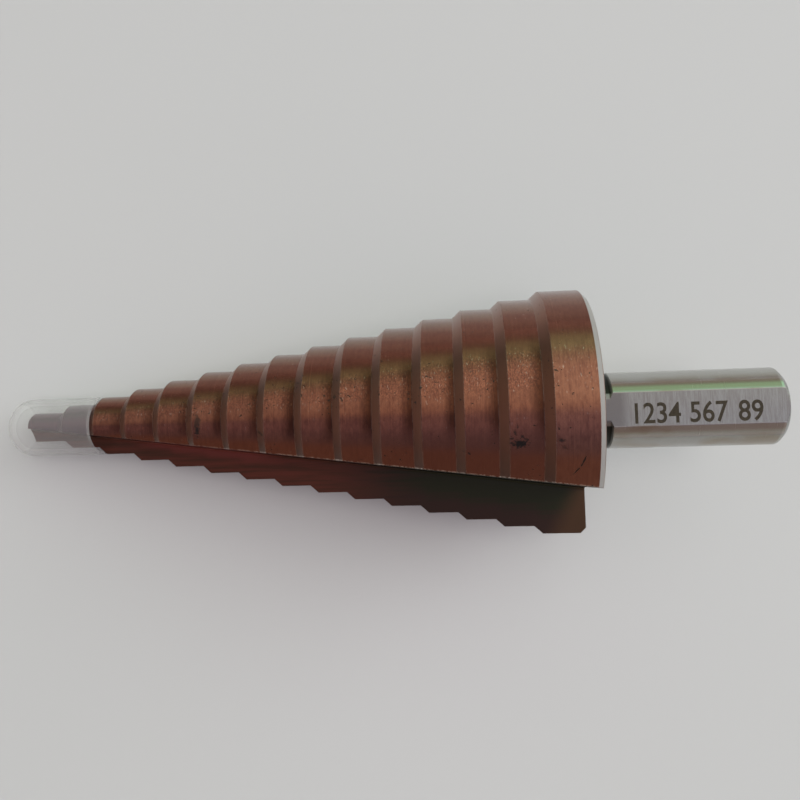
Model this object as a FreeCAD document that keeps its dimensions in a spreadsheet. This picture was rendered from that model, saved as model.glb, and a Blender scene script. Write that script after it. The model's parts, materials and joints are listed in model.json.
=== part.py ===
import FreeCAD, Part

import math
import os

import Sketcher

# Step drill, 4 to 32 mm, with the clear cap that guards its point. Everything is in millimetres.
# It is drawn along its own axis: x runs from the end of the shank to the point, and z is square
# to the faces that cut, which lie on the plane z = 0.
# It is then laid down as it rests on a table, on the cap's rounded end and on the front edge of
# the largest step: +X towards the shank, +Z up, and the origin under the middle of its box.

SIZES = {
    # The stepped head. A diameter grows by step_growth at each step, over a conical bevel.
    "tip_diameter": 4.0,
    "step_growth": 2.0,
    "step_pitch": 5.0,
    "step_bevel": 1.1,
    "back_land": 5.6,
    "tip_extra": 0.5,
    "rim_bevel": 0.7,
    "point_angle": 135.0,
    "land_relief": 0.2,
    # The two straight flutes. Their root rises from the back of the head towards the axis.
    "web_back": 10.0,
    "web_point": 0.25,
    "flute_root": 0.5,
    "flute_lean": 4.2,
    # The clearance ground behind the two lips of the point.
    "lip_clearance": 12.0,
    # The shank, its neck and its three flats.
    "shank_diameter": 10.0,
    "shank_length": 24.6,
    "shank_bevel": 0.6,
    "neck_depth": 0.3,
    "neck_length": 2.8,
    "neck_slope": 0.4,
    "flat_depth": 0.5,
    "flat_gap": 0.8,
    # The cap. Its bore fits over the second step, and its mouth stops at the bevel of the third.
    "cap_wall": 0.95,
    "cap_clearance": 0.05,
    "cap_mouth_gap": 0.6,
    "cap_lead_in": 0.55,
    "cap_point_gap": 0.9,
    "cap_end_wall": 0.9,
    "cap_round": 2.8,
}
STEP_COUNT = 15
FLUTE_COUNT = 2
FLAT_COUNT = 3
AXIS = FreeCAD.Vector(1, 0, 0)


class Size:
    """A length as words for an expression, with the number that a sketch starts from."""

    def __init__(self, words, number):
        self.words = words
        self.number = number

    def __add__(self, other):
        return Size("(%s + %s)" % (self.words, other.words), self.number + other.number)

    def __sub__(self, other):
        return Size("(%s - %s)" % (self.words, other.words), self.number - other.number)

    def __mul__(self, times):
        return Size("%s * %s" % (self.words, times), self.number * times)


def size(name):
    return Size("sizes." + name, SIZES[name])


def number(value):
    return Size(str(value), value)


NOTHING = number(0.0)


def tangent(degrees, words):
    return Size("tan(%s)" % words, math.tan(math.radians(degrees)))


def along(length, slope):
    return Size("%s * %s" % (length.words, slope.words), length.number * slope.number)


def step_radius(step):
    """Radius of a step, where step 0 is the smallest one, at the tip."""
    return size("tip_diameter") * 0.5 + size("step_growth") * (0.5 * step)


def step_front(step):
    """Where a step's cylinder ends, towards the point."""
    steps_ahead = STEP_COUNT - 1 - step
    front = size("shank_length") + size("back_land") + size("step_pitch") * steps_ahead
    return front + size("tip_extra") if step == 0 else front


HEAD_RADIUS = step_radius(STEP_COUNT - 1)
POINT_SLOPE = tangent(90.0 - SIZES["point_angle"] / 2, "90 - sizes.point_angle / 2")
POINT = step_front(0) + along(step_radius(0), POINT_SLOPE)
SHANK_RADIUS = size("shank_diameter") * 0.5
NECK_RADIUS = SHANK_RADIUS - size("neck_depth")

CAP_BORE_RADIUS = step_radius(1) + size("cap_clearance")
CAP_RADIUS = CAP_BORE_RADIUS + size("cap_wall")
CAP_MOUTH = step_front(2) + size("cap_mouth_gap")
CAP_INNER_END = POINT + size("cap_point_gap")
CAP_FRONT = CAP_INNER_END + size("cap_end_wall")
CAP_INNER_ROUND = size("cap_round") - size("cap_wall")


def make_sheet(doc):
    sheet = doc.addObject("Spreadsheet::Sheet", "sizes")
    for row, (name, value) in enumerate(SIZES.items(), start=1):
        sheet.set("A%d" % row, name)
        sheet.set("B%d" % row, str(value))
        sheet.setAlias("B%d" % row, name)
    doc.recompute()


def origin_feature(body, role):
    for feature in body.Origin.OriginFeatures:
        if feature.Role == role:
            return feature
    raise ValueError("no origin feature called " + role)


def new_sketch(body, name, plane, offset=NOTHING):
    sketch = body.newObject("Sketcher::SketchObject", name)
    sketch.AttachmentSupport = [(origin_feature(body, plane), "")]
    sketch.MapMode = "FlatFace"
    sketch.setExpression("AttachmentOffset.Base.z", offset.words)
    return sketch


def hold(sketch, kind, name, length, *where):
    """Adds a constraint of a length or angle and ties it to the sheet."""
    index = sketch.addConstraint(Sketcher.Constraint(kind, *where, length.number))
    sketch.renameConstraint(index, name)
    sketch.setExpression("Constraints." + name, length.words)


def hold_start(sketch, line, across, up):
    """Holds the start of a line at its two distances from the sketch's origin."""
    for kind, name, length in (("DistanceX", "across", across), ("DistanceY", "up", up)):
        hold(sketch, kind, "%s_%d" % (name, line), length, -1, 1, line, 1)


def draw_outline(sketch, points):
    """Draws a closed outline of straight lines through points, each a pair of sizes."""
    places = [FreeCAD.Vector(across.number, up.number, 0) for across, up in points]
    for line, place in enumerate(places):
        following = places[(line + 1) % len(places)]
        sketch.addGeometry(Part.LineSegment(place, following))
    for line in range(len(points)):
        sketch.addConstraint(Sketcher.Constraint("Coincident", line, 2, (line + 1) % len(points), 1))
    for line, (across, up) in enumerate(points):
        hold_start(sketch, line, across, up)


def revolve(body, name, sketch):
    turned = body.newObject("PartDesign::Revolution", name)
    turned.Profile = sketch
    turned.ReferenceAxis = (sketch, ["H_Axis"])
    turned.Angle = 360
    return turned


def cut_and_repeat(doc, body, pocket, times):
    """Repeats a pocket around the drill's axis, and makes sure that it has cut something."""
    before = pocket.BaseFeature.Shape.Volume
    doc.recompute()
    if not pocket.Shape.Volume < before:
        raise RuntimeError(pocket.Name + " cuts nothing")
    pattern = body.newObject("PartDesign::PolarPattern", pocket.Name + "_pattern")
    pattern.Originals = [pocket]
    pattern.Axis = (origin_feature(body, "X_Axis"), [""])
    pattern.Angle = 360
    pattern.Occurrences = times
    body.Tip = pattern
    doc.recompute()


def make_land_form(doc, name, turn):
    """A full turn of the stepped outline about an axis that is set off from the drill's own."""
    body = doc.addObject("PartDesign::Body", name)
    body.Placement = FreeCAD.Placement(FreeCAD.Vector(), FreeCAD.Rotation(AXIS, turn))
    sketch = new_sketch(body, name + "_outline", "XZ_Plane")
    sketch.setExpression("AttachmentOffset.Base.y", "sizes.land_relief")
    back = size("shank_length")
    points = [
        (back, NOTHING),
        (back, HEAD_RADIUS - size("rim_bevel")),
        (back + size("rim_bevel"), HEAD_RADIUS),
    ]
    for step in reversed(range(1, STEP_COUNT)):
        points.append((step_front(step), step_radius(step)))
        points.append((step_front(step) + size("step_bevel"), step_radius(step - 1)))
    points.append((step_front(0), step_radius(0)))
    points.append((POINT, NOTHING))
    draw_outline(sketch, points)
    revolve(body, name + "_turned", sketch)
    return body


def make_head(doc):
    """Each land is ground a little off centre, so it falls away behind its cutting edge."""
    head = doc.addObject("Part::Common", "relieved_head")
    head.Base = make_land_form(doc, "lower_land", 0)
    head.Tool = make_land_form(doc, "upper_land", 180)
    doc.recompute()
    return head


def add_shank(body):
    sketch = new_sketch(body, "shank_outline", "XY_Plane")
    neck_back = size("shank_length") - size("neck_length")
    inside_head = size("shank_length") + size("back_land") * 0.5
    draw_outline(sketch, [
        (NOTHING, NOTHING),
        (inside_head, NOTHING),
        (inside_head, NECK_RADIUS),
        (neck_back, NECK_RADIUS),
        (neck_back - size("neck_slope"), SHANK_RADIUS),
        (size("shank_bevel"), SHANK_RADIUS),
        (NOTHING, SHANK_RADIUS - size("shank_bevel")),
    ])
    revolve(body, "shank", sketch)


def draw_flute(sketch, web):
    """The flute's section: the cutting face along y, the heel wall, and the round root."""
    lean = math.radians(SIZES["flute_lean"])
    root = SIZES["flute_root"]
    tangent_run = root / math.tan((math.pi / 2 + lean) / 2)
    reach = HEAD_RADIUS * 1.25
    heel_foot = FreeCAD.Vector(
        web.number - tangent_run * math.sin(lean), tangent_run * math.cos(lean), 0)
    heel_top = FreeCAD.Vector(web.number - reach.number * math.tan(lean), reach.number, 0)
    face_foot = FreeCAD.Vector(web.number + tangent_run, 0, 0)
    face_end = FreeCAD.Vector(reach.number, 0, 0)
    far_corner = FreeCAD.Vector(reach.number, reach.number, 0)
    centre = FreeCAD.Vector(face_foot.x, root, 0)
    circle = Part.Circle(centre, FreeCAD.Vector(0, 0, 1), root)
    face, side, top, heel, arc = range(5)
    sketch.addGeometry(Part.LineSegment(face_foot, face_end))
    sketch.addGeometry(Part.LineSegment(face_end, far_corner))
    sketch.addGeometry(Part.LineSegment(far_corner, heel_top))
    sketch.addGeometry(Part.LineSegment(heel_foot, heel_top))
    sketch.addGeometry(Part.ArcOfCircle(circle, math.pi + lean, 1.5 * math.pi))
    sketch.addConstraint([
        Sketcher.Constraint("Coincident", face, 2, side, 1),
        Sketcher.Constraint("Coincident", side, 2, top, 1),
        Sketcher.Constraint("Coincident", top, 2, heel, 2),
        Sketcher.Constraint("Tangent", heel, 1, arc, 1),
        Sketcher.Constraint("Tangent", arc, 2, face, 1),
        Sketcher.Constraint("Vertical", side),
        Sketcher.Constraint("Horizontal", top),
    ])
    run_words = "sizes.flute_root / tan(45 + sizes.flute_lean / 2)"
    hold_start(sketch, face, web + Size(run_words, tangent_run), NOTHING)
    hold_start(sketch, side, reach, NOTHING)
    hold(sketch, "DistanceY", "far_up", reach, -1, 1, side, 2)
    hold(sketch, "Radius", "root", size("flute_root"), arc)
    hold(sketch, "Angle", "heel_lean", Size("90 + sizes.flute_lean", math.pi / 2 + lean), heel)


def cut_flutes(doc, body):
    """Each flute runs straight from behind the head, where its web is thickest, past the point."""
    back = size("shank_length")
    sketch = new_sketch(body, "flute_section", "YZ_Plane", back)
    draw_flute(sketch, size("web_back"))
    flute = body.newObject("PartDesign::Pocket", "flute")
    flute.Profile = sketch
    flute.UseCustomVector = True
    flute.AlongSketchNormal = True
    flute.Type = "Length"
    flute.Direction = AXIS
    flute.setExpression("Direction.x", (step_front(0) - back).words)
    flute.setExpression("Direction.y", (size("web_point") - size("web_back")).words)
    flute.setExpression("Length", (CAP_FRONT - back).words)
    cut_and_repeat(doc, body, flute, FLUTE_COUNT)


def grind_lips(doc, body):
    """Behind each lip the point is ground away on a plane that falls back from the lip."""
    sketch = new_sketch(body, "lip_outline", "XY_Plane")
    reach = step_radius(1)
    lip = POINT - along(size("land_relief"), POINT_SLOPE)
    front = POINT + reach
    run = along(reach, POINT_SLOPE)
    draw_outline(sketch, [
        (lip - run, NOTHING - reach),
        (front, NOTHING - reach),
        (front, reach),
        (lip + run, reach),
    ])
    grind = body.newObject("PartDesign::Pocket", "lip_grind")
    grind.Profile = sketch
    grind.UseCustomVector = True
    grind.AlongSketchNormal = True
    grind.Type = "Length"
    grind.Direction = FreeCAD.Vector(0, 0, 1)
    grind.setExpression("Direction.x", "-tan(sizes.lip_clearance)")
    grind.setExpression("Length", reach.words)
    cut_and_repeat(doc, body, grind, FLUTE_COUNT)


def grind_flats(doc, body):
    """Three flats on the shank, from its end to just short of the head."""
    sketch = new_sketch(body, "flat_outline", "YZ_Plane")
    low = SHANK_RADIUS - size("flat_depth")
    draw_outline(sketch, [
        (NOTHING - SHANK_RADIUS, low),
        (SHANK_RADIUS, low),
        (SHANK_RADIUS, SHANK_RADIUS + size("flat_depth")),
        (NOTHING - SHANK_RADIUS, SHANK_RADIUS + size("flat_depth")),
    ])
    flat = body.newObject("PartDesign::Pocket", "shank_flat")
    flat.Profile = sketch
    flat.Type = "Length"
    flat.Reversed = True
    flat.setExpression("Length", (size("shank_length") - size("flat_gap")).words)
    cut_and_repeat(doc, body, flat, FLAT_COUNT)


def make_drill(doc):
    body = doc.addObject("PartDesign::Body", "drill_body")
    body.BaseFeature = make_head(doc)
    doc.recompute()
    add_shank(body)
    doc.recompute()
    cut_flutes(doc, body)
    grind_lips(doc, body)
    grind_flats(doc, body)
    return body


def round_edge(shape, place, radius):
    """Name of the circular edge that lies at a place along the axis, with a given radius."""
    for index, edge in enumerate(shape.Edges, start=1):
        curve = edge.Curve
        if isinstance(curve, Part.Circle) and math.isclose(curve.Radius, radius, abs_tol=1e-4):
            if math.isclose(curve.Center.x, place, abs_tol=1e-4):
                return "Edge%d" % index
    raise RuntimeError("no round edge at %g" % place)


def fillet(doc, body, name, place, edge_radius, rounding):
    base = body.Tip
    edge = round_edge(base.Shape, place.number, edge_radius.number)
    rounded = body.newObject("PartDesign::Fillet", name)
    rounded.Base = (base, [edge])
    rounded.setExpression("Radius", rounding.words)
    doc.recompute()


def make_cap(doc):
    """A moulded sleeve with a round closed end, pushed over the two smallest steps."""
    body = doc.addObject("PartDesign::Body", "tip_cap")
    sketch = new_sketch(body, "cap_outline", "XY_Plane")
    draw_outline(sketch, [
        (CAP_MOUTH, CAP_BORE_RADIUS + size("cap_lead_in")),
        (CAP_MOUTH, CAP_RADIUS),
        (CAP_FRONT, CAP_RADIUS),
        (CAP_FRONT, NOTHING),
        (CAP_INNER_END, NOTHING),
        (CAP_INNER_END, CAP_BORE_RADIUS),
        (CAP_MOUTH + size("cap_lead_in"), CAP_BORE_RADIUS),
    ])
    revolve(body, "cap_turned", sketch)
    doc.recompute()
    fillet(doc, body, "cap_outer_round", CAP_FRONT, CAP_RADIUS, size("cap_round"))
    fillet(doc, body, "cap_inner_round", CAP_INNER_END, CAP_BORE_RADIUS, CAP_INNER_ROUND)
    return body


def lying_place():
    """How the drill lies: the line under it touches the cap's rounding and the largest step."""
    edge_place = step_front(STEP_COUNT - 1).number
    edge_radius = HEAD_RADIUS.number - SIZES["land_relief"]
    rounding = SIZES["cap_round"]
    round_centre = CAP_FRONT.number - rounding
    round_radius = CAP_RADIUS.number - rounding
    run = round_centre - edge_place
    rise = edge_radius - round_radius
    tilt = math.atan2(rise, run) - math.asin(rounding / math.hypot(run, rise))
    height = edge_place * math.sin(tilt) + edge_radius * math.cos(tilt)
    left = -round_centre * math.cos(tilt) - round_radius * math.sin(tilt) - rounding
    right = (SHANK_RADIUS.number - SIZES["shank_bevel"]) * math.sin(tilt)
    turned_round = FreeCAD.Rotation(FreeCAD.Vector(0, 0, 1), 180)
    tipped_down = FreeCAD.Rotation(FreeCAD.Vector(0, 1, 0), -math.degrees(tilt))
    corner = FreeCAD.Vector(-(left + right) / 2, 0, height)
    return FreeCAD.Placement(corner, tipped_down * turned_round)


def check_document(doc):
    for item in doc.Objects:
        if "Invalid" in item.State or "Error" in item.State:
            raise RuntimeError(item.Name + " did not build")


def check_shape(body):
    if body.Shape.isNull() or not body.Shape.isValid():
        raise RuntimeError(body.Label + " has no valid shape")
    if len(body.Shape.Solids) != 1:
        raise RuntimeError(body.Label + " is not one solid")


def main():
    doc = FreeCAD.newDocument("step_drill")
    make_sheet(doc)
    bodies = [make_drill(doc), make_cap(doc)]
    place = lying_place()
    for body in bodies:
        body.Placement = place
    doc.recompute()
    check_document(doc)
    for body in bodies:
        check_shape(body)
    os.makedirs("parts", exist_ok=True)
    for body in bodies:
        body.Shape.exportStep(os.path.join("parts", body.Label + ".step"))
        print(body.Label, round(body.Shape.Volume, 2), body.Shape.BoundBox)


main()
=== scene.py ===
import json
import math

import bpy
from mathutils import Matrix, Vector


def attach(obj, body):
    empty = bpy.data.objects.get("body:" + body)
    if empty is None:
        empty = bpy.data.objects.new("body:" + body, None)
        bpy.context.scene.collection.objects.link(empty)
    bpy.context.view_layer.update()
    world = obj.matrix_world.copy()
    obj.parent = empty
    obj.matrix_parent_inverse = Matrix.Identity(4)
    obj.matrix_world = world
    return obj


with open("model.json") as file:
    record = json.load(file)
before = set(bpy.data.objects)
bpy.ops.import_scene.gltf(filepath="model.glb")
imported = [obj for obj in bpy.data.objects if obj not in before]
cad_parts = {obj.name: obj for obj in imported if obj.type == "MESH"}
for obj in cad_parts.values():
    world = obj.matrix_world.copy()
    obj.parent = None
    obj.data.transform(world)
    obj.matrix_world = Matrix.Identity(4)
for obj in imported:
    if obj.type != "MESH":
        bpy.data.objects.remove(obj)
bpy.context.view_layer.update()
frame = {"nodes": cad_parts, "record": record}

# The drill's own axis, from the record. "along" is measured in millimetres from the end of the
# shank towards the point. "side" points at the near silhouette and "face" away from the table.
MILLIMETRE = 0.001
shank_mount = [m for m in frame["record"]["mounts"] if m["name"] == "shank"][0]
SHANK_END = Vector(shank_mount["pos_m"])
TO_POINT = -Vector(shank_mount["axis"]).normalized()
SIDE = Vector((0.0, -1.0, 0.0))
FACE = TO_POINT.cross(SIDE)

# Sizes of the drill, in millimetres, as the solids have them.
SHANK_LENGTH = 24.6
NECK_START = 21.75
WEB_BACK = 10.0
WEB_POINT = 0.25
FLUTE_ROOT = 0.5
FLUTE_LEAN = math.radians(4.2)
WEB_LENGTH = 76.1
SHANK_RADIUS = 5.0
FLAT_DISTANCE = 4.5
RIM_BEVEL = 0.7
HEAD_RADIUS = 16.0
FIRST_FRONT = 30.2
STEP_PITCH = 5.0
STEP_BEVEL = 1.1
SMALLER_STEPS = 14
CAP_MOUTH = 90.8
CAP_BORE = 3.05

# How deep the fine relief of the surfaces goes, in millimetres.
RELIEF = 0.02


class Nodes:
    """One shader tree. Most calls add a node and give back its output."""

    def __init__(self, tree):
        self.tree = tree
        self.tree.nodes.clear()

    def add(self, kind, **settings):
        node = self.tree.nodes.new(kind)
        for name, value in settings.items():
            setattr(node, name, value)
        return node

    def feed(self, socket, value):
        if isinstance(value, bpy.types.NodeSocket):
            self.tree.links.new(value, socket)
        else:
            socket.default_value = value

    def math(self, operation, *values, clamp=False):
        node = self.add("ShaderNodeMath", operation=operation, use_clamp=clamp)
        for socket, value in zip(node.inputs, values):
            self.feed(socket, value)
        return node.outputs[0]

    def vector(self, operation, *values):
        node = self.add("ShaderNodeVectorMath", operation=operation)
        for socket, value in zip(node.inputs, values):
            self.feed(socket, value)
        return node.outputs["Value" if operation in ("DOT_PRODUCT", "LENGTH") else "Vector"]

    def scaled(self, direction, length):
        node = self.add("ShaderNodeVectorMath", operation="SCALE")
        self.feed(node.inputs[0], direction)
        self.feed(node.inputs["Scale"], length)
        return node.outputs[0]

    def combine(self, x, y, z):
        node = self.add("ShaderNodeCombineXYZ")
        for socket, value in zip(node.inputs, (x, y, z)):
            self.feed(socket, value)
        return node.outputs[0]

    def rise(self, value, low, high, first=0.0, last=1.0):
        """Goes smoothly from first to last while value goes from low to high."""
        node = self.add("ShaderNodeMapRange", interpolation_type="SMOOTHSTEP")
        for socket, number in zip(node.inputs, (value, low, high, first, last)):
            self.feed(socket, number)
        return node.outputs[0]

    def between(self, value, low, high, blur):
        up = self.rise(value, low - blur, low)
        down = self.rise(value, high, high + blur, 1.0, 0.0)
        return self.math("MULTIPLY", up, down)

    def mix(self, factor, first, second, blend="MIX"):
        node = self.add("ShaderNodeMix", data_type="RGBA", blend_type=blend)
        self.feed(node.inputs["Factor"], factor)
        self.feed(node.inputs[6], first)
        self.feed(node.inputs[7], second)
        return node.outputs[2]

    def tinted(self, mask, base, shade):
        """The base, multiplied by the shade where the mask is."""
        return self.mix(mask, base, self.mix(1.0, base, shade, "MULTIPLY"))

    def blend(self, factor, first, second):
        """Between two numbers."""
        node = self.add("ShaderNodeMix", data_type="FLOAT")
        self.feed(node.inputs["Factor"], factor)
        self.feed(node.inputs[2], first)
        self.feed(node.inputs[3], second)
        return node.outputs[0]

    def noise(self, place, scale, detail=3.0, roughness=0.5):
        node = self.add("ShaderNodeTexNoise")
        self.feed(node.inputs["Vector"], place)
        self.feed(node.inputs["Scale"], scale)
        self.feed(node.inputs["Detail"], detail)
        self.feed(node.inputs["Roughness"], roughness)
        return node.outputs[0]

    def ramp(self, value, stops):
        node = self.add("ShaderNodeValToRGB")
        ramp = node.color_ramp
        while len(ramp.elements) < len(stops):
            ramp.elements.new(0.5)
        for element, (place, colour) in zip(ramp.elements, stops):
            element.position = place
            element.color = colour
        self.feed(node.inputs[0], value)
        return node.outputs["Color"]

    def bump(self, height, strength):
        """Adds fine relief and gives back its node."""
        node = self.add("ShaderNodeBump")
        self.feed(node.inputs["Strength"], strength)
        self.feed(node.inputs["Distance"], RELIEF * MILLIMETRE)
        self.feed(node.inputs["Height"], height)
        return node

    def show(self, surface):
        """Makes this the material's surface."""
        output = self.add("ShaderNodeOutputMaterial")
        self.feed(output.inputs["Surface"], surface)


def shade_ramp(nodes, value, low, high, shades):
    place = nodes.math("DIVIDE", nodes.math("SUBTRACT", value, low), high - low)
    return nodes.ramp(place, [((at - low) / (high - low), colour(*shade)) for at, shade in shades])


def new_material(name):
    material = bpy.data.materials.new(name)
    material.use_nodes = True
    return material, Nodes(material.node_tree)


def colour(red, green, blue):
    return (red, green, blue, 1.0)


def dress(piece, material):
    piece.data.materials.clear()
    piece.data.materials.append(material)


# Places on the drill, as node outputs

class Places:
    """Where a point lies along, around and away from the drill's axis."""

    def __init__(self, nodes):
        point = nodes.add("ShaderNodeTexCoord").outputs["Object"]
        from_end = nodes.vector("SUBTRACT", point, SHANK_END)
        metres = nodes.vector("DOT_PRODUCT", from_end, TO_POINT)
        side = nodes.vector("DOT_PRODUCT", from_end, SIDE)
        face = nodes.vector("DOT_PRODUCT", from_end, FACE)
        self.along = nodes.math("DIVIDE", metres, MILLIMETRE)
        self.side = nodes.math("DIVIDE", side, MILLIMETRE)
        self.face = nodes.math("DIVIDE", face, MILLIMETRE)
        self.radius = nodes.vector("LENGTH", nodes.combine(self.side, self.face, 0.0))
        turn = nodes.math("ARCTAN2", self.face, self.side)
        self.angle = nodes.math("DEGREES", turn)
        self.side_share = nodes.math("DIVIDE", self.side, self.radius)
        self.face_share = nodes.math("DIVIDE", self.face, self.radius)
        self.point = nodes.combine(self.along, self.side, self.face)

    def around(self, nodes, along_scale, turn_scale, in_millimetres=False):
        """A place for streaks that run round the axis."""
        side, face = self.side_share, self.face_share
        if in_millimetres:
            side, face = self.side, self.face
        return nodes.combine(
            nodes.math("MULTIPLY", self.along, along_scale),
            nodes.math("MULTIPLY", side, turn_scale),
            nodes.math("MULTIPLY", face, turn_scale),
        )

    def stretched(self, nodes, along_scale, cross_scale):
        """A place for streaks that run along the drill or straight across it."""
        return nodes.combine(
            nodes.math("MULTIPLY", self.along, along_scale),
            nodes.math("MULTIPLY", self.side, cross_scale),
            nodes.math("MULTIPLY", self.face, cross_scale),
        )


# The drill

LAND_BRIGHT = colour(0.300, 0.128, 0.076)
LAND_DEEP = colour(0.175, 0.066, 0.041)
# The next four are painted light and shade, multiplied over the coating: the smaller steps, the upper
# band, the far edge's sheen and the corner at each bevel's foot.
SMALLER_SHADE = colour(0.97, 0.92, 0.90)
UPPER_SHADE = colour(0.90, 0.80, 0.82)
EDGEWARD_SHEEN = colour(1.08, 1.36, 1.45)
CORNER_SHADE = colour(0.29, 0.20, 0.10)
TIP_PLUM = colour(0.120, 0.046, 0.064)
CHIP_PALE = colour(0.46, 0.33, 0.27)
EDGE_WEAR_AND_GLINT = colour(0.34, 0.27, 0.23)
LIP_GLINT = colour(0.56, 0.46, 0.40)
PIT_BLACK = colour(0.026, 0.028, 0.024)
# The flute's colours are painted reflection and shade over the coating's red-brown.
FLUTE_RED = colour(0.150, 0.042, 0.026)
FLUTE_WARM = colour(0.215, 0.052, 0.038)
FLUTE_BROWN = colour(0.083, 0.033, 0.018)
FLUTE_HEEL_SHADE = colour(0.024, 0.027, 0.012)
FLUTE_PLUM = colour(0.042, 0.023, 0.016)
FLUTE_BACK = colour(0.086, 0.046, 0.022)
RIM_STEEL = colour(0.300, 0.288, 0.276)
STEEL = colour(0.39, 0.385, 0.36)
STEEL_TAN = colour(0.31, 0.26, 0.195)
FLAT_STEEL = colour(0.355, 0.375, 0.355)
FLAT_DULL = colour(0.290, 0.293, 0.275)
FLAT_DARK = colour(0.225, 0.225, 0.215)
STEEL_HIGHLIGHT = colour(0.53, 0.54, 0.51)
NECK_DARK = colour(0.025, 0.026, 0.019)

# Zones of the land, by the angle round the drill, from the near silhouette.
LOW_ZONE = (86.0, 76.0)
LOWER_CALM = (80.0, 70.0)
CORNER_ZONE = (84.0, 112.0)
WORN_AND_GLINT_ZONE = (102.0, 115.0)
UPPER_CALM = (112.0, 124.0)
DARK_ZONE = (121.0, 141.0)
EDGEWARD_ZONE = (141.0, 151.0)

# The dull brown of the bevels, with painted light and shade by the angle round the drill: palest towards
# the far silhouette, darker near the lip and in a band above the middle.
BEVEL_SHADED_BROWNS = (
    (60, (0.100, 0.038, 0.020)),
    (74, (0.168, 0.064, 0.038)),
    (86, (0.220, 0.084, 0.050)),
    (96, (0.202, 0.080, 0.044)),
    (106, (0.176, 0.074, 0.040)),
    (118, (0.116, 0.049, 0.025)),
    (128, (0.172, 0.070, 0.042)),
    (136, (0.255, 0.112, 0.072)),
    (150, (0.325, 0.180, 0.135)),
)

# Each blemish: where it is along and around the drill, its half length, its half width, the
# angle its length makes with the axis and how dark it is.
BLEMISHES = (
    (34.1, 75.4, 1.00, 0.52, 0.0, 0.90),
    (34.6, 80.3, 0.36, 0.20, 60.0, 0.70),
    (33.8, 78.8, 0.30, 0.18, 10.0, 0.70),
    (34.3, 83.0, 0.28, 0.12, 90.0, 0.60),
    (33.4, 77.3, 0.30, 0.15, 20.0, 0.60),
    (35.0, 77.8, 0.25, 0.18, 0.0, 0.60),
    (29.6, 77.3, 0.45, 0.24, 0.0, 0.75),
    (29.3, 74.4, 0.45, 0.26, 20.0, 0.40),
    (29.9, 82.0, 0.22, 0.12, 60.0, 0.60),
    (27.20, 68.3, 0.85, 0.10, 112.0, 0.80),
    (27.95, 64.0, 0.60, 0.08, 128.0, 0.80),
    (74.5, 81.0, 0.80, 0.42, 85.0, 0.85),
    (74.4, 89.0, 1.00, 0.45, 88.0, 0.70),
    (65.8, 78.0, 0.45, 0.22, 20.0, 0.60),
    (39.8, 70.0, 0.22, 0.12, 45.0, 0.70),
    (29.9, 106.0, 0.25, 0.12, 30.0, 0.70),
    (54.9, 101.0, 0.40, 0.14, 70.0, 0.70),
    (45.2, 104.0, 0.22, 0.14, 10.0, 0.70),
)


def step_shape(nodes, places):
    """The land's radius here, the share of a step from its front, and how far down a bevel."""
    from_front = nodes.math("SUBTRACT", places.along, FIRST_FRONT)
    steps = nodes.math("DIVIDE", from_front, STEP_PITCH)
    whole = nodes.math("FLOOR", steps)
    part = nodes.math("SUBTRACT", steps, whole)
    down = nodes.math("MULTIPLY", part, STEP_PITCH / STEP_BEVEL, clamp=True)
    lower = nodes.math("ADD", whole, down)
    lower = nodes.math("MINIMUM", nodes.math("MAXIMUM", lower, 0.0), float(SMALLER_STEPS))
    radius = nodes.math("SUBTRACT", HEAD_RADIUS, lower)
    return radius, part, down


def flute_masks(nodes, places, land_radius):
    """Where the flute's surfaces are, the share of the way across its floor, and its lip."""
    share = nodes.math("DIVIDE", nodes.math("SUBTRACT", places.along, SHANK_LENGTH), WEB_LENGTH)
    web = nodes.blend(nodes.math("ADD", share, 0.0, clamp=True), WEB_BACK, WEB_POINT)
    off_axis = nodes.math("ABSOLUTE", places.side)
    height = nodes.math("ABSOLUTE", places.face)
    over = nodes.math("SUBTRACT", off_axis, web)
    floor = nodes.rise(height, 0.06, 0.03)
    floor = nodes.math("MULTIPLY", floor, nodes.rise(over, -0.02, 0.02))
    from_wall = nodes.math("MULTIPLY_ADD", height, math.tan(FLUTE_LEAN), over)
    wall = nodes.rise(nodes.math("ABSOLUTE", from_wall), 0.06, 0.03)
    root = nodes.rise(from_wall, FLUTE_ROOT + 0.05, FLUTE_ROOT)
    root = nodes.math("MULTIPLY", root, nodes.rise(height, FLUTE_ROOT + 0.05, FLUTE_ROOT))
    root = nodes.math("MULTIPLY", root, nodes.rise(from_wall, -0.06, -0.03))
    same_hand = nodes.rise(nodes.math("MULTIPLY", places.side, places.face), 0.0, 0.001)
    inside = nodes.math("MULTIPLY", nodes.math("MAXIMUM", wall, root), same_hand)
    across = nodes.math("DIVIDE", over, nodes.math("SUBTRACT", land_radius, web))
    lip = nodes.rise(nodes.math("ABSOLUTE", from_wall), 0.19, 0.09)
    lip = nodes.math("MULTIPLY", lip, same_hand)
    return nodes.math("MAXIMUM", floor, inside), across, lip


# How slowly a dark mark thins out, so that noise can fray its outline.
RAGGED_FADE = 0.30


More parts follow.
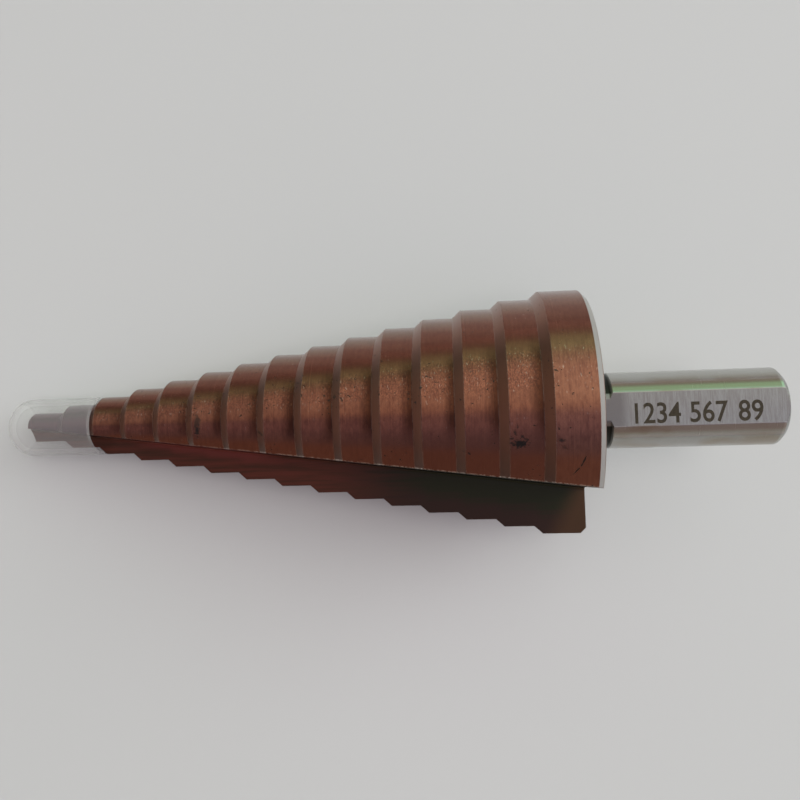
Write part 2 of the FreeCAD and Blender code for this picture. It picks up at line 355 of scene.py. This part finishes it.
def blemish(nodes, places, ragged, where):
    """One dark mark, with a ragged outline."""
    along, angle, half_length, half_width, lean, depth = where
    radius = HEAD_RADIUS - max(0.0, math.floor((along - FIRST_FRONT) / STEP_PITCH) + 1)
    forward = nodes.math("SUBTRACT", places.along, along)
    round_it = nodes.math("MULTIPLY", nodes.math("SUBTRACT", places.angle, angle), math.radians(radius))
    turn = math.radians(lean)
    lengthwise = nodes.math("MULTIPLY", forward, math.cos(turn) / half_length)
    lengthwise = nodes.math("MULTIPLY_ADD", round_it, math.sin(turn) / half_length, lengthwise)
    widthwise = nodes.math("MULTIPLY", forward, -math.sin(turn) / half_width)
    widthwise = nodes.math("MULTIPLY_ADD", round_it, math.cos(turn) / half_width, widthwise)
    away = nodes.vector("LENGTH", nodes.combine(lengthwise, widthwise, 0.0))
    near = nodes.math("MULTIPLY_ADD", away, -RAGGED_FADE, RAGGED_FADE)
    return nodes.rise(nodes.math("ADD", near, ragged), 0.45, 0.65, 0.0, depth)


def dirt_mask(nodes, places, cloud):
    """Small black pits all over, thicker in patches, and the larger marks the drill has."""
    pits = nodes.noise(places.around(nodes, 2.6, 2.6, True), 1.0, 2.0, 0.5)
    limit = nodes.blend(nodes.rise(cloud, 0.42, 0.62), 0.78, 0.67)
    thick = nodes.between(places.along, 48.0, 72.0, 8.0)
    thick = nodes.math("MULTIPLY", thick, nodes.between(places.angle, 98.0, 118.0, 8.0))
    limit = nodes.math("MULTIPLY_ADD", thick, -0.06, limit)
    dirt = nodes.rise(nodes.math("SUBTRACT", pits, limit), 0.0, 0.03)
    dirt = nodes.math("MULTIPLY", dirt, 0.7)
    ragged = nodes.noise(places.point, 3.2, 4.0, 0.75)
    for where in BLEMISHES:
        dirt = nodes.math("MAXIMUM", dirt, blemish(nodes, places, ragged, where))
    return dirt


class Grain:
    """Grinding marks that run round the axis, and cloudy patches that lie over them."""

    def __init__(self, nodes, places):
        self.fine = nodes.noise(places.around(nodes, 7.0, 0.5), 1.0, 5.0, 0.7)
        self.fleck = nodes.noise(places.around(nodes, 3.0, 1.1, True), 1.0, 3.0, 0.7)
        self.coarse = nodes.noise(places.around(nodes, 1.6, 0.5), 1.0, 3.0, 0.6)
        self.cloud = nodes.noise(places.point, 0.22, 4.0, 0.6)


class Zones:
    """Where the surfaces of the drill are that look different."""

    def __init__(self, nodes, places):
        land_radius, self.part, down = step_shape(nodes, places)
        self.head = nodes.rise(places.along, SHANK_LENGTH + 0.01, SHANK_LENGTH + 0.05)
        self.flute, self.across, lip = flute_masks(nodes, places, land_radius)
        self.land = nodes.math("SUBTRACT", 1.0, self.flute)
        self.lip = nodes.math("MULTIPLY", lip, self.land)
        rim = nodes.rise(places.along, SHANK_LENGTH + RIM_BEVEL + 0.03, SHANK_LENGTH + RIM_BEVEL)
        rim_foot = HEAD_RADIUS - RIM_BEVEL
        rim = nodes.math("MULTIPLY", rim, nodes.rise(places.radius, rim_foot - 0.2, rim_foot - 0.05))
        self.rim = nodes.math("MULTIPLY", rim, self.land)
        bevel = nodes.between(down, 0.03, 0.97, 0.03)
        bevel = nodes.math("MULTIPLY", bevel, nodes.rise(places.along, FIRST_FRONT, FIRST_FRONT + 0.03))
        self.bevel = nodes.math("MULTIPLY", bevel, self.land)
        self.smaller = nodes.rise(places.along, FIRST_FRONT, FIRST_FRONT + 0.1)


def coating(nodes, places, grain):
    """The coating's own brown, calmer near the land's two edges."""
    tint = nodes.math("MULTIPLY", grain.fine, 0.45)
    tint = nodes.math("MULTIPLY_ADD", grain.cloud, 0.25, tint)
    tint = nodes.math("MULTIPLY_ADD", grain.fleck, 0.50, tint)
    tint = nodes.rise(tint, 0.44, 0.74)
    calm = nodes.rise(places.angle, *UPPER_CALM)
    calm = nodes.math("MAXIMUM", calm, nodes.rise(places.angle, *LOWER_CALM))
    tint = nodes.blend(nodes.math("MULTIPLY", calm, 0.55), tint, 0.5)
    return nodes.mix(tint, LAND_DEEP, LAND_BRIGHT)


def shaded_land(nodes, places, land, smaller):
    """Painted light and shade on the coating: the smaller steps a little darker than the largest, a
    painted darker band across the upper land, and a painted pale sheen towards the far edge.
    """
    # Painted shade: the smaller steps a little darker than the largest step.
    land = nodes.tinted(smaller, land, SMALLER_SHADE)
    # Painted shade: a darker band across the upper land, where it mirrors a darker part of the room.
    land = nodes.tinted(nodes.between(places.angle, *DARK_ZONE, 4.0), land, UPPER_SHADE)
    # Painted highlight: the smaller steps paler towards the far silhouette, where they mirror the pale
    # table.
    edgeward = nodes.math("MULTIPLY", nodes.rise(places.angle, *EDGEWARD_ZONE), smaller)
    return nodes.tinted(edgeward, land, EDGEWARD_SHEEN)


def worn_and_glinting_land(nodes, places, land, smaller, cloud):
    """Pale chips of wear, with painted glints: more chips and a coarser sparkle in the band where the
    highlight falls.
    """
    chips = nodes.noise(places.around(nodes, 6.0, 2.0, True), 1.0, 1.0, 0.5)
    # Painted glints: more pale chips in the band where the highlight falls.
    band = nodes.between(places.angle, *WORN_AND_GLINT_ZONE, 7.0)
    chips = nodes.math("MULTIPLY_ADD", band, 0.07, chips)
    chips = nodes.rise(nodes.math("MULTIPLY_ADD", cloud, 0.12, chips), 0.78, 0.88)
    land = nodes.mix(nodes.math("MULTIPLY", chips, 0.65), land, CHIP_PALE)
    # Painted glints: a coarser sparkle in the same band, on the smaller steps.
    coarser = nodes.noise(places.around(nodes, 7.0, 5.0, True), 1.0, 2.0, 0.6)
    coarser = nodes.rise(coarser, 0.36, 0.66, 0.72, 1.28)
    coarser = nodes.blend(nodes.math("MULTIPLY", band, smaller), 1.0, coarser)
    return nodes.mix(1.0, land, nodes.combine(coarser, coarser, coarser), "MULTIPLY")


def darkened_land(nodes, places, land, part, smaller, cloud):
    """Painted shade: darker in the corner at each bevel's foot, and at the near edge of the larger steps.
    """
    # Painted shade in the corner beside each bevel's foot, across the middle of the land.
    corner = nodes.rise(nodes.math("MULTIPLY_ADD", cloud, 0.25, part), 0.72, 0.36)
    corner = nodes.math("MULTIPLY", corner, smaller)
    corner = nodes.math("MULTIPLY", corner, nodes.between(places.angle, *CORNER_ZONE, 18.0))
    corner = nodes.math("MULTIPLY", corner, nodes.rise(places.along, 60.0, 100.0, 1.0, 0.5))
    land = nodes.tinted(corner, land, CORNER_SHADE)
    # Painted shade along the near edge of the larger steps, towards the lip.
    low = nodes.math("MULTIPLY", nodes.rise(places.angle, *LOW_ZONE), nodes.rise(places.along, 58.0, 44.0))
    low = nodes.math("MULTIPLY", low, smaller)
    return nodes.mix(nodes.math("MULTIPLY", low, 0.6), land, LAND_DEEP)


def land_colour(nodes, places, zones, grain):
    land = coating(nodes, places, grain)
    land = shaded_land(nodes, places, land, zones.smaller)
    land = worn_and_glinting_land(nodes, places, land, zones.smaller, grain.cloud)
    land = darkened_land(nodes, places, land, zones.part, zones.smaller, grain.cloud)
    # The bevels' brown, with its painted light and shade by angle.
    land = nodes.mix(zones.bevel, land, shade_ramp(nodes, places.angle, -180.0, 180.0, BEVEL_SHADED_BROWNS))
    return nodes.mix(nodes.rise(places.along, CAP_MOUTH, CAP_MOUTH + 0.8), land, TIP_PLUM)


# The flute's coating, with painted reflection and shade: red-brown streaks towards the point, a warmer
# patch near the web, plum nearer the shank, near-black olive along the heel and brown at the back.
def flute_colour_and_reflection(nodes, places, across):
    streak = nodes.noise(places.stretched(nodes, 0.10, 1.7), 1.0, 4.0, 0.6)
    flute = nodes.mix(nodes.rise(streak, 0.34, 0.70), FLUTE_BROWN, FLUTE_RED)
    warm = nodes.between(places.along, 70.0, 82.0, 6.0)
    warm = nodes.math("MULTIPLY", warm, nodes.rise(across, 0.55, 0.10))
    flute = nodes.mix(warm, flute, FLUTE_WARM)
    wavy = nodes.math("MULTIPLY_ADD", streak, -16.0, places.along)
    flute = nodes.mix(nodes.rise(wavy, 54.0, 38.0), flute, FLUTE_PLUM)
    # Painted shade: near-black olive along the heel, where the flute mirrors the heel wall.
    heel = nodes.rise(nodes.math("MULTIPLY_ADD", streak, 0.5, across), 1.05, 0.62)
    heel = nodes.math("MULTIPLY", heel, nodes.rise(wavy, 47.0, 35.0))
    flute = nodes.mix(heel, flute, FLUTE_HEEL_SHADE)
    back = nodes.rise(nodes.math("MULTIPLY_ADD", across, -3.5, places.along), 27.2, 23.6)
    return nodes.mix(back, flute, FLUTE_BACK)


def round_steel(nodes, places):
    """The shank's round parts: grey, tan in patches, with a painted tan band of reflection, and painted
    highlights that make them pale at the end and towards the far side.
    """
    tan = nodes.rise(nodes.noise(places.around(nodes, 0.12, 1.3), 1.0, 3.0), 0.42, 0.64)
    # Painted reflection: a tan band at one angle all along the shank.
    tan = nodes.math("MAXIMUM", tan, nodes.between(places.angle, 120.0, 130.0, 4.0))
    steel = nodes.mix(nodes.math("MULTIPLY", tan, 0.8), STEEL, STEEL_TAN)
    # Painted highlight: paler towards the far silhouette and at the end.
    pale = nodes.rise(places.angle, 132.0, 150.0)
    pale = nodes.math("MAXIMUM", pale, nodes.rise(places.along, 1.0, 0.8))
    return nodes.mix(nodes.math("MULTIPLY", pale, 0.8), steel, STEEL_HIGHLIGHT)


def flat_steel(nodes, places):
    """The flats, with marks straight across them, and darker near the neck."""
    cut = nodes.noise(places.stretched(nodes, 5.0, 0.35), 1.0, 4.0, 0.7)
    steel = nodes.mix(nodes.rise(cut, 0.36, 0.64), FLAT_DULL, FLAT_STEEL)
    darker = nodes.rise(nodes.math("MULTIPLY_ADD", cut, 1.2, places.along), 19.8, 21.4)
    return nodes.mix(darker, steel, FLAT_DARK)


def neck_mask(nodes, places):
    """The neck's shadow, which stops where the upper flat runs into it."""
    neck = nodes.between(places.along, NECK_START, SHANK_LENGTH - 0.02, 0.35)
    neck = nodes.math("MULTIPLY", neck, nodes.rise(places.radius, 4.60, 4.64))
    neck = nodes.math("MULTIPLY", neck, nodes.rise(places.radius, 5.3, 5.1))
    off_flat = nodes.rise(nodes.math("ABSOLUTE", places.side), 1.95, 2.15)
    off_flat = nodes.math("MAXIMUM", off_flat, nodes.rise(places.face, 0.1, -0.1))
    return nodes.math("MULTIPLY", neck, off_flat)


def shank_colour(nodes, places, neck):
    flat = nodes.rise(places.radius, SHANK_RADIUS - 0.02, SHANK_RADIUS - 0.06)
    flat = nodes.math("MULTIPLY", flat, nodes.rise(places.along, 0.02, 0.1))
    steel = nodes.mix(flat, round_steel(nodes, places), flat_steel(nodes, places))
    return nodes.mix(neck, steel, NECK_DARK)


def worn_and_glinting_edges(nodes, fleck):
    """The normal with its sharp edges rounded, and where those edges are pale: worn bare in places, and a
    painted highlight along them.
    """
    rounded = nodes.add("ShaderNodeBevel", samples=4)
    nodes.feed(rounded.inputs["Radius"], 0.13 * MILLIMETRE)
    faced = nodes.add("ShaderNodeNewGeometry").outputs["Normal"]
    agree = nodes.vector("DOT_PRODUCT", rounded.outputs[0], faced)
    wear_and_glint = nodes.math("MULTIPLY", nodes.rise(agree, 0.985, 0.90), nodes.rise(fleck, 0.36, 0.52))
    return rounded.outputs[0], wear_and_glint


def drill_colour(nodes, places, zones, grain, wear_and_glint, dirt, neck):
    coated = land_colour(nodes, places, zones, grain)
    coated = nodes.mix(zones.flute, coated, flute_colour_and_reflection(nodes, places, zones.across))
    # Pale edges: wear, and a painted highlight where the edges would catch the light.
    coated = nodes.mix(nodes.math("MULTIPLY", wear_and_glint, 0.75), coated, EDGE_WEAR_AND_GLINT)
    # Painted highlight: a dotted pale line along the lip of the lands, fading out towards the point.
    lip = nodes.math("MULTIPLY", zones.lip, nodes.rise(grain.fleck, 0.40, 0.60))
    lip = nodes.math("MULTIPLY", lip, nodes.rise(places.along, 84.0, 62.0))
    coated = nodes.mix(lip, coated, LIP_GLINT)
    coated = nodes.mix(dirt, coated, PIT_BLACK)
    base = nodes.mix(zones.head, shank_colour(nodes, places, neck), coated)
    return nodes.mix(zones.rim, base, RIM_STEEL)


def drill_roughness(nodes, zones, grain, dirt, neck):
    coated = nodes.blend(grain.fine, 0.17, 0.32)
    coated = nodes.blend(zones.bevel, coated, 0.38)
    coated = nodes.blend(zones.flute, coated, 0.34)
    coated = nodes.blend(dirt, coated, 0.8)
    bare = nodes.blend(neck, nodes.blend(grain.fine, 0.18, 0.32), 0.6)
    rough = nodes.blend(zones.head, bare, coated)
    return nodes.blend(zones.rim, rough, 0.6)


def drill_relief(nodes, grain, dirt, rounded):
    height = nodes.math("MULTIPLY", grain.fine, 0.7)
    height = nodes.math("MULTIPLY_ADD", grain.coarse, 0.4, height)
    height = nodes.math("MULTIPLY_ADD", grain.fleck, 0.5, height)
    height = nodes.math("MULTIPLY_ADD", dirt, -0.8, height)
    bump = nodes.bump(height, 0.5)
    nodes.feed(bump.inputs["Normal"], rounded)
    return bump.outputs[0]


def across_marks(nodes, places):
    """The way light is drawn out: along the drill, and on its flat ends away from the axis."""
    outward = nodes.scaled(SIDE, places.side_share)
    upward = nodes.scaled(FACE, places.face_share)
    radial = nodes.vector("ADD", outward, upward)
    return nodes.vector("ADD", radial, TO_POINT)


def drill_material():
    material, nodes = new_material("drill_metal")
    places = Places(nodes)
    zones = Zones(nodes, places)
    grain = Grain(nodes, places)
    dirt = nodes.math("MULTIPLY", dirt_mask(nodes, places, grain.cloud), zones.land)
    neck = neck_mask(nodes, places)
    rounded, wear_and_glint = worn_and_glinting_edges(nodes, grain.fleck)

    shader = nodes.add("ShaderNodeBsdfPrincipled")
    base = drill_colour(nodes, places, zones, grain, wear_and_glint, dirt, neck)
    nodes.feed(shader.inputs["Base Color"], base)
    nodes.feed(shader.inputs["Roughness"], drill_roughness(nodes, zones, grain, dirt, neck))
    nodes.feed(shader.inputs["Metallic"], nodes.blend(zones.rim, 1.0, 0.2))
    shader.inputs["Anisotropic"].default_value = 0.8
    shader.inputs["Coat Weight"].default_value = 0.35
    shader.inputs["Coat Roughness"].default_value = 0.30
    nodes.feed(shader.inputs["Tangent"], across_marks(nodes, places))
    nodes.feed(shader.inputs["Normal"], drill_relief(nodes, grain, dirt, rounded))
    nodes.show(shader.outputs[0])
    return material


# The cap

MILK_GREY = colour(0.62, 0.63, 0.63)
MILK_PALE = colour(0.72, 0.72, 0.71)


def cap_material():
    material, nodes = new_material("milky_plastic")
    places = Places(nodes)
    cloud = nodes.noise(places.point, 0.5, 3.0)
    fine = nodes.noise(places.point, 6.0, 2.0)
    milk = nodes.mix(cloud, MILK_GREY, MILK_PALE)
    outside = nodes.rise(places.radius, CAP_BORE + 0.05, CAP_BORE + 0.25)
    edge = nodes.add("ShaderNodeLayerWeight")
    nodes.feed(edge.inputs["Blend"], 0.35)
    alpha = nodes.blend(edge.outputs["Facing"], 0.13, 0.50)
    mouth = nodes.rise(places.along, CAP_MOUTH + 0.3, CAP_MOUTH + 0.02)
    alpha = nodes.blend(mouth, alpha, 0.32)
    alpha = nodes.math("MULTIPLY", alpha, nodes.blend(outside, 0.25, 1.0))

    shader = nodes.add("ShaderNodeBsdfPrincipled")
    nodes.feed(shader.inputs["Base Color"], milk)
    nodes.feed(shader.inputs["Alpha"], alpha)
    nodes.feed(shader.inputs["Roughness"], nodes.blend(cloud, 0.34, 0.48))
    nodes.feed(shader.inputs["Normal"], nodes.bump(fine, 0.3).outputs[0])
    nodes.show(shader.outputs[0])
    return material


# The marks on the flat that faces up

# Lengths in millimetres, how narrow a figure is, and its share of the height of its font.
MARK_HEIGHT = 0.008
MARK_SIZE = 2.65
MARK_BOLD = 0.045
MARK_NARROW = 0.86
MARK_ACROSS = -0.70
FIGURE_SHARE = 0.73
MARK_DARK = colour(0.030, 0.024, 0.014)
MARK_WORN = colour(0.066, 0.051, 0.031)


def mark_material():
    material, nodes = new_material("etched_mark")
    places = Places(nodes)
    spots = nodes.noise(places.point, 7.0, 3.0)
    base = nodes.mix(nodes.rise(spots, 0.4, 0.65), MARK_DARK, MARK_WORN)
    shader = nodes.add("ShaderNodeBsdfPrincipled")
    nodes.feed(shader.inputs["Base Color"], base)
    nodes.feed(shader.inputs["Roughness"], nodes.blend(spots, 0.45, 0.7))
    shader.inputs["Metallic"].default_value = 0.3
    nodes.show(shader.outputs[0])
    return material


def flat_place(along, across):
    """The frame of a mark that reads from the head towards the end of the shank."""
    right = -TO_POINT
    up = FACE.cross(right)
    up.normalize()
    where = SHANK_END + TO_POINT * (along * MILLIMETRE) + FACE * (FLAT_DISTANCE * MILLIMETRE)
    where = where + up * (across * MILLIMETRE)
    turn = Matrix((right, up, FACE)).transposed().to_4x4()
    return Matrix.Translation(where) @ turn


def make_mark(name, words, along, material):
    """Plain figures, a hair thicker than the flat they lie on."""
    text = bpy.data.curves.new(name, "FONT")
    text.body = words
    text.size = MARK_SIZE * MILLIMETRE / FIGURE_SHARE
    text.extrude = MARK_HEIGHT * MILLIMETRE / 2
    text.offset = MARK_BOLD * MILLIMETRE
    text.resolution_u = 4
    text.align_x = "CENTER"
    text.align_y = "CENTER"
    drawn = bpy.data.objects.new(name + "_drawn", text)
    bpy.context.scene.collection.objects.link(drawn)
    bpy.context.view_layer.update()
    shape = bpy.data.meshes.new_from_object(drawn.evaluated_get(bpy.context.evaluated_depsgraph_get()))
    bpy.data.objects.remove(drawn)
    mark = bpy.data.objects.new(name, shape)
    bpy.context.scene.collection.objects.link(mark)
    mark.matrix_world = flat_place(along, MARK_ACROSS) @ Matrix.Diagonal((MARK_NARROW, 1.0, 1.0, 1.0))
    dress(mark, material)
    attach(mark, "drill")


# The surroundings: a pale table, and a room with a bright window on one side

# Each band: its angle from straight up towards the window side, and its colour.
ROOM_BANDS = (
    (-180, (0.70, 0.70, 0.70)),
    (-92, (0.68, 0.62, 0.58)),
    (-78, (0.50, 0.42, 0.37)),
    (-66, (0.34, 0.26, 0.24)),
    (-42, (0.36, 0.28, 0.26)),
    (-38, (0.30, 0.28, 0.35)),
    (-26, (0.33, 0.32, 0.43)),
    (-18, (0.40, 0.37, 0.50)),
    (-9, (0.49, 0.45, 0.59)),
    (-1, (0.55, 0.50, 0.62)),
    (5, (0.97, 0.90, 0.83)),
    (14, (1.14, 1.15, 1.07)),
    (40, (1.16, 1.17, 1.09)),
    (51, (0.84, 0.95, 0.83)),
    (60, (0.68, 1.02, 0.73)),
    (67, (0.68, 1.16, 0.78)),
    (71, (0.57, 0.84, 0.58)),
    (75, (0.43, 0.44, 0.38)),
    (85, (0.55, 0.46, 0.46)),
    (92, (0.48, 0.42, 0.42)),
    (100, (0.50, 0.48, 0.48)),
    (180, (0.70, 0.70, 0.70)),
)

# The room darkens from the shank's side of the drill to the point's side: the shares of the
# light that are left, from one to the other.
WINDOW_SIDE_FALL = (
    (-1.00, (0.10, 0.08, 0.08)),
    (-0.75, (0.38, 0.36, 0.40)),
    (-0.60, (0.47, 0.46, 0.50)),
    (-0.38, (0.57, 0.49, 0.49)),
    (-0.20, (0.71, 0.63, 0.62)),
    (-0.05, (0.87, 0.83, 0.80)),
    (0.07, (1.00, 1.00, 1.00)),
    (0.35, (1.00, 1.00, 1.00)),
    (1.00, (1.60, 1.60, 1.60)),
)
NEAR_SIDE_FALL = (
    (-1.00, (0.42, 0.30, 0.28)),
    (-0.60, (0.80, 0.70, 0.66)),
    (-0.20, (0.84, 0.76, 0.72)),
    (0.07, (1.00, 1.00, 1.00)),
    (0.35, (1.00, 1.00, 1.00)),
    (1.00, (1.60, 1.60, 1.60)),
)


def make_room():
    world = bpy.data.worlds.new("room")
    bpy.context.scene.world = world
    world.use_nodes = True
    nodes = Nodes(world.node_tree)
    way = nodes.add("ShaderNodeTexCoord").outputs["Generated"]
    parts = nodes.add("ShaderNodeSeparateXYZ")
    nodes.feed(parts.inputs[0], way)
    x, y, z = parts.outputs
    lean = nodes.math("DEGREES", nodes.math("ARCTAN2", y, z))
    bands = shade_ramp(nodes, lean, -180.0, 180.0, ROOM_BANDS)
    window_side = shade_ramp(nodes, x, -1.0, 1.0, WINDOW_SIDE_FALL)
    near_side = shade_ramp(nodes, x, -1.0, 1.0, NEAR_SIDE_FALL)
    fall = nodes.mix(nodes.rise(y, -0.22, 0.02), near_side, window_side)
    lit = nodes.mix(1.0, bands, fall, "MULTIPLY")
    background = nodes.add("ShaderNodeBackground")
    nodes.feed(background.inputs["Color"], lit)
    output = nodes.add("ShaderNodeOutputWorld")
    nodes.feed(output.inputs["Surface"], background.outputs[0])


# The table's outline, from its flat top to the top of the wall around it: distance and height in
# metres. Then its colours, and the shares of the wall's light that are left at each x, in metres.
TABLE_OUTLINE = ((2.2, 0.0), (2.5, 0.03), (2.75, 0.12), (2.92, 0.28), (3.0, 0.5), (3.02, 0.9))
TABLE_SIDES = 96
TABLE_GREY = colour(0.548, 0.562, 0.568)
TABLE_PALE = colour(0.578, 0.587, 0.593)
# The wall's glow, with the room's light painted in: lighter low down, darker high up.
WALL_LOW = colour(0.58, 0.52, 0.51)
WALL_HIGH = colour(0.43, 0.43, 0.38)
WALL_BASE = colour(0.66, 0.64, 0.63)
WALL_FALL = (
    (-1.20, (0.50, 0.46, 0.46)),
    (-1.14, (0.57, 0.49, 0.49)),
    (-0.60, (0.71, 0.63, 0.62)),
    (-0.15, (0.87, 0.83, 0.80)),
    (0.21, (1.00, 1.00, 1.00)),
)


def table_mesh():
    """A round table that turns up into a low wall."""
    points = [(0.0, 0.0, 0.0)]
    for distance, height in TABLE_OUTLINE:
        for side in range(TABLE_SIDES):
            turn = 2 * math.pi * side / TABLE_SIDES
            points.append((distance * math.cos(turn), distance * math.sin(turn), height))
    faces = []
    for side in range(TABLE_SIDES):
        following = (side + 1) % TABLE_SIDES
        faces.append((0, 1 + side, 1 + following))
        for ring in range(len(TABLE_OUTLINE) - 1):
            inner = 1 + ring * TABLE_SIDES
            outer = inner + TABLE_SIDES
            faces.append((inner + side, outer + side, outer + following, inner + following))
    mesh = bpy.data.meshes.new("table")
    mesh.from_pydata(points, [], faces)
    mesh.polygons.foreach_set("use_smooth", [True] * len(mesh.polygons))
    return mesh


def wall_mask(nodes, x, y, height):
    """Where the wall is seen or mirrored, but for its part beyond the drill's point."""
    path = nodes.add("ShaderNodeLightPath")
    seen = nodes.math("MAXIMUM", path.outputs["Is Camera Ray"], path.outputs["Is Glossy Ray"])
    seen = nodes.math("MAXIMUM", seen, path.outputs["Is Transmission Ray"])
    there = nodes.rise(nodes.math("ABSOLUTE", y), 0.6, 2.2)
    there = nodes.math("MAXIMUM", there, nodes.rise(x, 0.6, 2.2))
    seen = nodes.math("MULTIPLY", seen, there)
    return nodes.math("MULTIPLY", seen, nodes.rise(height, 0.0, 0.10))


def wall_light(nodes, x, height):
    """The lamps hardly reach the wall, so it glows for seen and mirrored rays, with the room's light
    painted into it: lighter low down, darker high up and towards the point's side.
    """
    shade = nodes.mix(nodes.rise(height, 0.3, 0.85), WALL_LOW, WALL_HIGH)
    shade = nodes.mix(1.0, shade, shade_ramp(nodes, x, -3.0, 3.0, WALL_FALL), "MULTIPLY")
    wall = nodes.add("ShaderNodeEmission")
    nodes.feed(wall.inputs["Color"], shade)
    return wall.outputs[0]


def make_table():
    table = bpy.data.objects.new("table", table_mesh())
    bpy.context.scene.collection.objects.link(table)
    material, nodes = new_material("pale_table")
    point = nodes.add("ShaderNodeTexCoord").outputs["Object"]
    cloud = nodes.noise(point, 9.0, 3.0)
    base = nodes.mix(cloud, TABLE_GREY, TABLE_PALE)
    parts = nodes.add("ShaderNodeSeparateXYZ")
    nodes.feed(parts.inputs[0], point)
    x, y, height = parts.outputs
    base = nodes.mix(nodes.rise(height, 0.02, 0.40), base, WALL_BASE)
    shader = nodes.add("ShaderNodeBsdfPrincipled")
    nodes.feed(shader.inputs["Base Color"], base)
    shader.inputs["Roughness"].default_value = 0.8
    shader.inputs["Specular IOR Level"].default_value = 0.2
    shown = nodes.add("ShaderNodeMixShader")
    nodes.feed(shown.inputs[0], wall_mask(nodes, x, y, height))
    nodes.feed(shown.inputs[1], shader.outputs[0])
    nodes.feed(shown.inputs[2], wall_light(nodes, x, height))
    nodes.show(shown.outputs[0])
    dress(table, material)


def make_lamp(name, place, size, power, shade):
    lamp = bpy.data.lights.new(name, "AREA")
    lamp.shape = "DISK"
    lamp.size = size
    lamp.energy = power
    lamp.color = shade
    holder = bpy.data.objects.new(name, lamp)
    bpy.context.scene.collection.objects.link(holder)
    holder.location = place
    holder.rotation_euler = (-Vector(place)).to_track_quat("-Z", "Y").to_euler()
    holder.visible_glossy = False
    holder.visible_camera = False


# The photograph's camera: where it stands in metres, how it is turned in degrees, and its lens.
CAMERA_PLACE = (-0.0048935, -0.0019015, 0.1041534)
CAMERA_TURN = (2.74776, -4.64802, -1.62408)
CAMERA_LENS = 30.49


def make_camera():
    camera = bpy.data.cameras.new("camera")
    camera.lens = CAMERA_LENS
    camera.sensor_width = 36.0
    camera.clip_start = 0.005
    camera.clip_end = 20.0
    holder = bpy.data.objects.new("camera", camera)
    bpy.context.scene.collection.objects.link(holder)
    holder.location = CAMERA_PLACE
    holder.rotation_euler = [math.radians(turn) for turn in CAMERA_TURN]
    bpy.context.scene.camera = holder


dress(frame["nodes"]["drill_body"], drill_material())
dress(frame["nodes"]["tip_cap"], cap_material())
etched = mark_material()
make_mark("mark_first", "1234", 16.3, etched)
make_mark("mark_second", "567", 9.9, etched)
make_mark("mark_third", "89", 4.8, etched)
make_room()
make_table()
make_lamp("window_lamp", (1.10, 0.46, 0.60), 1.0, 7.8, (0.96, 0.99, 1.0))
make_lamp("ceiling_lamp", (0.10, 0.0, 0.90), 0.5, 2.2, (1.0, 0.96, 0.90))
make_camera()
bpy.context.scene.view_settings.view_transform = "Standard"
